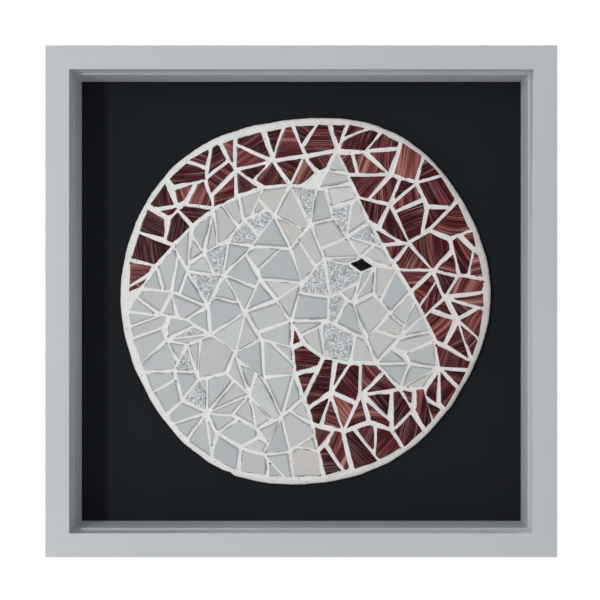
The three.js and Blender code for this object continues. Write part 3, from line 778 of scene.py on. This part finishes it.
def distance_to_outline(points, outline):
    """Distance from each point to a closed outline, below zero inside it."""
    start = outline
    side = np.roll(outline, -1, 0) - outline
    to_point = points[:, None, :] - start[None, :, :]
    share = np.clip((to_point * side).sum(2) / (side**2).sum(1), 0, 1)
    nearest = np.linalg.norm(to_point - share[:, :, None] * side[None, :, :], axis=2).min(1)
    end_y = start[:, 1] + side[:, 1]
    y = points[:, 1][:, None]
    spans = (start[:, 1][None, :] > y) != (end_y[None, :] > y)
    rise = np.where(side[:, 1] == 0, 1e-12, side[:, 1])
    cross = start[:, 0] + (y - start[:, 1]) / rise * side[:, 0]
    inside = (spans & (points[:, 0][:, None] < cross)).sum(1) % 2 == 1
    return np.where(inside, -nearest, nearest)


def nearest_tile(points, shards):
    """For each point: how far the nearest tile's side is, below zero inside it, and that tile's height."""
    reach = 5 * MM
    distance = np.full(len(points), reach)
    level = np.full(len(points), np.nan)
    for shard in shards:
        outline = shard.ring
        low, high = outline.min(0) - reach, outline.max(0) + reach
        near = np.where(((points > low) & (points < high)).all(1))[0]
        if not len(near):
            continue
        found = distance_to_outline(points[near], outline)
        closer = found < distance[near]
        distance[near[closer]] = found[closer]
        level[near[closer]] = shard.height(points[near[closer]])
    return distance, level


def offset_ring(ring, distance):
    """The ring moved outwards, or inwards below zero, by one distance or by one for each point."""
    ahead = np.roll(ring, -1, 0) - np.roll(ring, 1, 0)
    ahead /= np.linalg.norm(ahead, axis=1)[:, None]
    outward = np.column_stack([ahead[:, 1], -ahead[:, 0]])
    return ring + outward * np.broadcast_to(distance, len(ring))[:, None]


def crevices(shard, rng):
    """How far the grout stands open round a tile, from 0 to 1 for each point of its ring."""
    sides = shard.outline(0.0)[1]
    count = len(shard.tips)
    opened = (rng.uniform(size=count) < CREVICE_SIDES) * rng.uniform(0.4, 1.0, count)
    start, length = rng.uniform(0, 0.5, count), rng.uniform(0.35, 0.9, count)
    tips = (rng.uniform(size=count) < CREVICE_TIPS) * rng.uniform(0.5, 1.0, count)
    amounts, steps = [], 0
    for before, after, _ in sides:
        if before != after:
            amounts.append(tips[after])
            steps = 0
            continue
        steps += 1
        along = (steps / shard.counts[after] - start[after]) / length[after]
        amounts.append(opened[after] * max(0.0, math.sin(math.pi * np.clip(along, 0, 1))) ** 0.5)
    return np.array(amounts)


def grout_levels(points, shards, rim, swell, sand):
    """Height of the grout's surface: up against each tile, lower in the open, and a floor under each tile."""
    distance, level = nearest_tile(points, shards)
    usual = np.nanmean(level)
    level = np.where(np.isnan(level), usual, level)
    open_share = 1 - np.exp(-((np.clip(distance, 0, None) / POOL_WIDTH) ** 2))
    against = level - LIP_BELOW
    pool = usual - POOL_BELOW + SWELL * swell.on_plane(points)
    surface = against + (pool - against) * open_share + SAND * sand.on_plane(points)
    depth = rim.depth(points)
    turn = np.arctan2(points[:, 1] - rim.centre[1], points[:, 0] - rim.centre[0])
    low_rim = np.clip(np.cos(turn - RIDGE_ANGLE) * 3 - 2, 0, 1)
    for way, (height, place, width) in ((1, RIDGE), (-1, GROOVE)):
        surface += way * low_rim * height * np.exp(-(((depth - place) / width) ** 2))
    surface -= EDGE_FALL[0] * np.exp(-((depth / EDGE_FALL[1]) ** 2))
    return np.where(distance < -0.1 * MM, level - POCKET_BELOW, surface)


def make_grout(shards):
    rng = np.random.default_rng(GROUT_SEED)
    rim = Rim(rng)
    swell = Waves(rng, 16 * MM, 5 * MM, 10)
    sand = Waves(rng, 3.2 * MM, 1.2 * MM, 30)
    for shard in shards:
        shard.ring = shard.outline(0.0)[0]

    edge = rim.ring(RIM_PROFILE[0][0] * MM)
    reach = int((CAD_HIGH.x - CAD_LOW.x) / 2 / GROUT_STEP)
    rows, columns = np.mgrid[-reach:reach, -reach:reach]
    lattice = np.column_stack([
        (columns + 0.5 * (rows % 2)).ravel() * GROUT_STEP,
        rows.ravel() * GROUT_STEP * math.sqrt(3) / 2,
    ])
    jitter = rng.uniform(-LATTICE_JITTER, LATTICE_JITTER, lattice.shape)
    lattice += rim.centre + jitter * GROUT_STEP
    lattice = lattice[rim.depth(lattice) > (RIM_PROFILE[0][0] + RIM_CLEAR) * MM]
    lattice = lattice[nearest_tile(lattice, shards)[0] > EDGE_GAP + LATTICE_CLEAR]

    loops, gaps = [edge], [np.zeros(RIM_POINTS)]
    for shard in shards:
        gap = crevices(shard, rng)
        loops.append(offset_ring(shard.ring, EDGE_GAP + CREVICE_WIDTH * gap))
        loops.append(offset_ring(shard.ring, -POCKET_RING))
        gaps += [gap, np.zeros(len(gap))]
    seeds, edges, start = [], [], 0
    for loop in loops:
        count = len(loop)
        edges += [(start + i, start + (i + 1) % count) for i in range(count)]
        seeds.append(loop)
        start += count
    flat = np.vstack([*seeds, lattice])
    scale = 1 / MM
    result = delaunay_2d_cdt([Vector(p * scale) for p in flat], edges, [], 0, 1e-5, True)
    made = np.array([v[:] for v in result[0]]) * MM
    faces = np.array(result[2])
    middles = made[faces].mean(1)
    faces = faces[rim.depth(middles) > RIM_PROFILE[0][0] * MM - 0.02 * MM]

    levels = grout_levels(made, shards, rim, swell, sand)
    source_of = {source: k for k, sources in enumerate(result[3]) for source in sources}
    gap = np.zeros(len(made))
    for source, amount in enumerate(np.concatenate(gaps)):
        gap[source_of[source]] = max(gap[source_of[source]], amount)
    points = np.column_stack([made, levels - CREVICE_DEPTH * gap])
    edge_index = np.array([source_of[i] for i in range(RIM_POINTS)])

    all_faces = faces.tolist()
    ring_start = edge_index
    rings = [points]
    total = len(points)
    top_level = levels[edge_index]
    for inwards, height in RIM_PROFILE[1:]:
        share = (height * MM) / (RIM_PROFILE[1][1] * MM)
        ring = rim.ring(inwards * MM)
        level = np.minimum(height * MM, top_level * share) if height > 1 else np.full(RIM_POINTS, height * MM)
        rings.append(np.column_stack([ring, level]))
        ring_index = total + np.arange(RIM_POINTS)
        after, ring_after = np.roll(ring_start, -1), np.roll(ring_index, -1)
        all_faces += np.column_stack([ring_start, ring_index, ring_after, after]).tolist()
        ring_start = ring_index
        total += RIM_POINTS
    rings.append([[*rim.centre, RIM_PROFILE[-1][1] * MM]])
    all_faces += np.column_stack([np.roll(ring_start, -1), ring_start, np.full(RIM_POINTS, total)]).tolist()
    points = in_place(np.vstack(rings))
    piece = new_piece("grout_bed", points, all_faces, pale_grout(), ["grout"])
    rest = len(points) - len(gap)
    # Painted shade on the right is strongest near the rim.
    rim_shade_share = np.exp(-((rim.depth(made) / RIM_SHADE_REACH) ** 2))
    # Painted shade in the crevices round the tiles.
    add_attribute(piece, "crevice_shade", "FLOAT", np.concatenate([gap, np.zeros(rest)]))
    add_attribute(piece, "edge", "FLOAT", np.concatenate([rim_shade_share, np.ones(rest)]))


# ---- Frame ---------------------------------------------------------------------------------------

ARRIS = 0.35 * MM
ARRIS_STEPS = 4
RAIL_STEPS = 24
LINER_GAP = 0.3 * MM  # from the painted frame to the liner's front and outer faces
LIP_ARRIS = 0.25 * MM
REAR_ARRIS = 0.4 * MM


def rounded(profile, radii):
    """A closed profile whose corners are rounded by the given radii."""
    points = []
    for i, corner in enumerate(profile):
        radius = radii[i]
        if not radius:
            points.append(corner)
            continue
        back = unit(profile[i - 1] - corner)
        ahead = unit(profile[(i + 1) % len(profile)] - corner)
        for k in range(ARRIS_STEPS + 1):
            t = k / ARRIS_STEPS
            enter, leave = corner + back * radius, corner + ahead * radius
            points.append((1 - t) ** 2 * enter + 2 * t * (1 - t) * corner + t * t * leave)
    return np.array(points)


def square_sweep(profile):
    """Sweeps a closed profile, distance from the frame's middle and depth, round the square with mitres."""
    count = len(profile)
    stations = []
    for side in range(4):
        for k in range(RAIL_STEPS):
            stations.append((side, 2 * k / RAIL_STEPS - 1))
    points = []
    for side, t in stations:
        turn = side * math.pi / 2
        out = profile[:, 0]
        along = out * t
        x = along * math.cos(turn) + out * math.sin(turn)
        z = out * math.cos(turn) - along * math.sin(turn)
        points.append(np.column_stack([x + FRAME_CENTRE.x, profile[:, 1], z + FRAME_CENTRE.z]))
    faces = []
    for k in range(len(stations)):
        after = (k + 1) % len(stations)
        for i in range(count):
            j = (i + 1) % count
            faces.append([k * count + i, after * count + i, after * count + j, k * count + j])
    return np.vstack(points), faces


def make_frame(paint):
    """The four rails as one painted frame: filled mitres and slightly rounded arrises."""
    low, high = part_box("rail_top")
    front, rear, outer, inner = low.y, high.y, high.z - FRAME_CENTRE.z, low.z - FRAME_CENTRE.z
    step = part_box("liner_top")[0].y - LINER_GAP
    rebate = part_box("liner_top")[1].z + LINER_GAP - FRAME_CENTRE.z
    profile = np.array([
        [inner, front], [inner, step], [rebate, step], [rebate, rear], [outer, rear], [outer, front],
    ])
    radii = [ARRIS, LIP_ARRIS, 0, REAR_ARRIS, ARRIS, ARRIS]
    points, faces = square_sweep(rounded(profile, radii))
    names = ["rail_" + side for side in SIDES]
    piece = new_piece("painted_frame", points, faces, paint, names)
    # Flat faces stay flat and only narrow roundings shade smoothly.
    piece.modifiers.new("weighted", "WEIGHTED_NORMAL").keep_sharp = True


def dress_nodes(paint):
    """The CAD nodes that stay, each with its own finish."""
    looks = {"liner_" + side: paint for side in SIDES}
    looks["mount_board"] = black_card()
    looks["backing_board"] = hardboard()
    steel = zinc_steel()
    looks["wall_hanger"] = steel
    looks.update({"backing_tab_" + side: steel for side in SIDES})
    for name, material in looks.items():
        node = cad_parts[name]
        node.data.materials.clear()
        node.data.materials.append(material)


# ---- Studio --------------------------------------------------------------------------------------

CAMERA_DISTANCE = 0.70  # from the frame's front
VIEW_WIDTH = 0.3867  # width seen at the frame's front
FRAME_SHIFT = 1.3 / 600  # how far right and down the frame sits in the picture, as a share of its width
KEY_ANGLE = math.radians(32)
KEY_DISTANCE = 2.1
KEY_RISE = 0.12
KEY_SIZE = (0.24, 1.5)
KEY_POWER = 19
# A second lamp far up on the left, almost in the front plane, that lights the lip's right and bottom walls.
RAKING_OFFSET = Vector((-1.5, -0.05, 1.0))
RAKING_SIZE = (0.06, 0.9)
RAKING_POWER = 11
ROOM_STRENGTH = 0.60
PATCH_STRENGTH = 0.12
FLOOR_RADIUS = 1.2
FLOOR_POINTS = 96
FLOOR_DROP = 0.42  # below the panel
DARK_PATCH = (math.radians(34), math.radians(20))  # where the dark patch starts and where it is full


def add_light(name, place, target, size, power, colour):
    light = bpy.data.lights.new(name, "AREA")
    light.shape = "RECTANGLE"
    light.size, light.size_y = size
    light.energy = power
    light.color = colour
    lamp = bpy.data.objects.new(name, light)
    bpy.context.scene.collection.objects.link(lamp)
    lamp.location = place
    lamp.rotation_euler = (target - place).to_track_quat("-Z", "Y").to_euler()


def studio_world():
    """An even pale room that is dark behind the camera, and plain white where the camera sees it."""
    world = bpy.data.worlds.new("studio")
    world.use_nodes = True
    tree = world.node_tree

    def link(source, target):
        tree.links.new(source, target)

    direction = tree.nodes.new("ShaderNodeTexCoord").outputs["Generated"]
    towards_camera = tree.nodes.new("ShaderNodeVectorMath")
    towards_camera.operation = "DOT_PRODUCT"
    towards_camera.inputs[1].default_value = (0, -1, 0)
    link(direction, towards_camera.inputs[0])
    light_share = tree.nodes.new("ShaderNodeMapRange")
    light_share.inputs[1].default_value = math.cos(DARK_PATCH[0])
    light_share.inputs[2].default_value = math.cos(DARK_PATCH[1])
    light_share.inputs[3].default_value = ROOM_STRENGTH
    light_share.inputs[4].default_value = PATCH_STRENGTH
    link(towards_camera.outputs["Value"], light_share.inputs[0])
    room = tree.nodes["Background"]
    room.inputs["Color"].default_value = (0.93, 0.965, 1.0, 1)
    link(light_share.outputs[0], room.inputs["Strength"])
    white = tree.nodes.new("ShaderNodeBackground")
    white.inputs["Color"].default_value = (1, 1, 1, 1)
    choose = tree.nodes.new("ShaderNodeMixShader")
    link(tree.nodes.new("ShaderNodeLightPath").outputs["Is Camera Ray"], choose.inputs[0])
    link(room.outputs[0], choose.inputs[1])
    link(white.outputs[0], choose.inputs[2])
    link(choose.outputs[0], tree.nodes["World Output"].inputs[0])
    return world


def make_studio():
    scene = bpy.context.scene
    scene.view_settings.view_transform = "Standard"
    target = Vector((FRAME_CENTRE.x, CAD_LOW.y, FRAME_CENTRE.z))

    camera = bpy.data.cameras.new("camera")
    camera.sensor_width = 36
    camera.lens = camera.sensor_width * CAMERA_DISTANCE / VIEW_WIDTH
    camera.shift_x = -FRAME_SHIFT
    camera.shift_y = FRAME_SHIFT
    eye = bpy.data.objects.new("camera", camera)
    eye.location = target - Vector((0, CAMERA_DISTANCE, 0))
    eye.rotation_euler = (math.pi / 2, 0, 0)
    scene.collection.objects.link(eye)
    scene.camera = eye

    key_way = Vector((-math.sin(KEY_ANGLE), -math.cos(KEY_ANGLE), KEY_RISE))
    key_place = target + key_way * KEY_DISTANCE
    add_light("window", key_place, target, KEY_SIZE, KEY_POWER, (1.0, 0.99, 0.97))
    add_light("raking", target + RAKING_OFFSET, target, RAKING_SIZE, RAKING_POWER, (0.97, 0.985, 1.0))

    scene.world = studio_world()

    floor_mesh = bpy.data.meshes.new("floor")
    turns = [2 * math.pi * k / FLOOR_POINTS for k in range(FLOOR_POINTS)]
    level = CAD_LOW.z - FLOOR_DROP
    corners = [(FLOOR_RADIUS * math.cos(turn), FLOOR_RADIUS * math.sin(turn), level) for turn in turns]
    floor_mesh.from_pydata(corners, [], [tuple(range(FLOOR_POINTS))])
    floor = bpy.data.objects.new("floor", floor_mesh)
    scene.collection.objects.link(floor)
    pale = Shader("floor_paint", Base_Color=(0.94, 0.94, 0.94, 1), Roughness=0.9)
    floor_mesh.materials.append(pale.material)


# ---- All together --------------------------------------------------------------------------------

make_studio()
frame_paint = grey_paint()
make_frame(frame_paint)
dress_nodes(frame_paint)
make_grout(lay_tiles())
